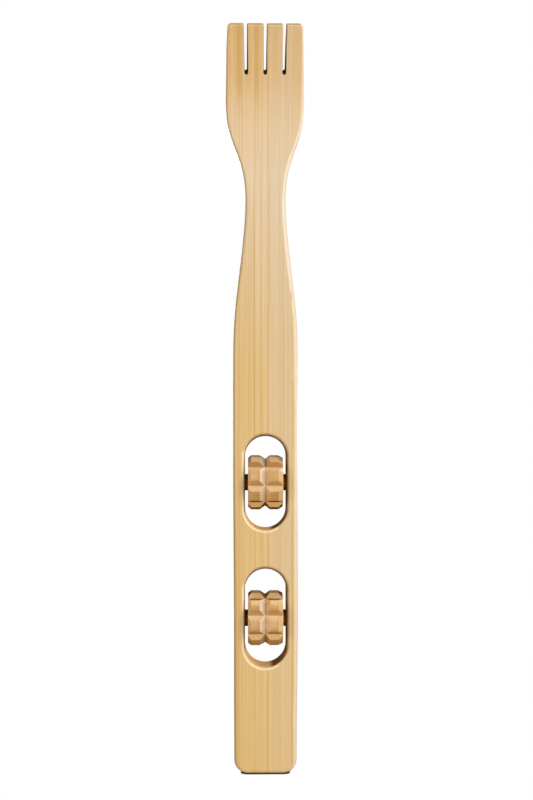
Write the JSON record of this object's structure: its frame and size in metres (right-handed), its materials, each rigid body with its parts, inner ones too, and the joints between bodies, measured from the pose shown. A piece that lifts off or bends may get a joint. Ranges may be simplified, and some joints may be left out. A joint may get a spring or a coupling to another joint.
{
  "type": "bamboo back scratcher with massage rollers",
  "caption": "Long bamboo back scratcher with a curved tined head and faceted massage rollers turning on dowels in windows of its laminated handle.",
  "frame": {"origin": "centre of the flat foot end of the handle", "axes": "+Z along the handle from the foot to the tines, the windows open along Y, the tines curve towards -Y, X is across the width and along both axles"},
  "size_m": [0.0507, 0.0601, 0.4767],
  "materials": {
    "left_edge_strip_handle": "satin lacquer",
    "left_edge_strip_head": "satin lacquer",
    "left_strip": "satin lacquer",
    "mid_left_strip_foot": "satin lacquer",
    "mid_left_strip_bridge": "satin lacquer",
    "mid_left_strip_neck": "satin lacquer",
    "mid_right_strip_foot": "satin lacquer",
    "mid_right_strip_bridge": "satin lacquer",
    "mid_right_strip_neck": "satin lacquer",
    "right_strip": "satin lacquer",
    "right_edge_strip_handle": "satin lacquer",
    "right_edge_strip_head": "satin lacquer",
    "upper_axle": "turned dowel",
    "lower_axle": "turned dowel",
    "upper_roller": "fine ground bare wood",
    "lower_roller": "fine ground bare wood"
  },
  "bodies": {
    "handle": {"left_edge_strip_handle": "left_edge_strip_handle", "left_edge_strip_head": "left_edge_strip_head", "left_strip": "left_strip", "mid_left_strip_foot": "mid_left_strip_foot", "mid_left_strip_bridge": "mid_left_strip_bridge", "mid_left_strip_neck": "mid_left_strip_neck", "mid_right_strip_foot": "mid_right_strip_foot", "mid_right_strip_bridge": "mid_right_strip_bridge", "mid_right_strip_neck": "mid_right_strip_neck", "right_strip": "right_strip", "right_edge_strip_handle": "right_edge_strip_handle", "right_edge_strip_head": "right_edge_strip_head", "upper_axle": "upper_axle", "lower_axle": "lower_axle"},
    "upper_roller": {"upper_roller": "upper_roller"},
    "lower_roller": {"lower_roller": "lower_roller"}
  },
  "joints": [
    {"name": "upper_roller_spin", "type": "hinge", "parent": "handle", "child": "upper_roller", "pos_m": [0, 0, 0.1899], "axis": [1, 0, 0], "continuous": true},
    {"name": "lower_roller_spin", "type": "hinge", "parent": "handle", "child": "lower_roller", "pos_m": [0, 0, 0.1004], "axis": [1, 0, 0], "continuous": true}
  ]
}
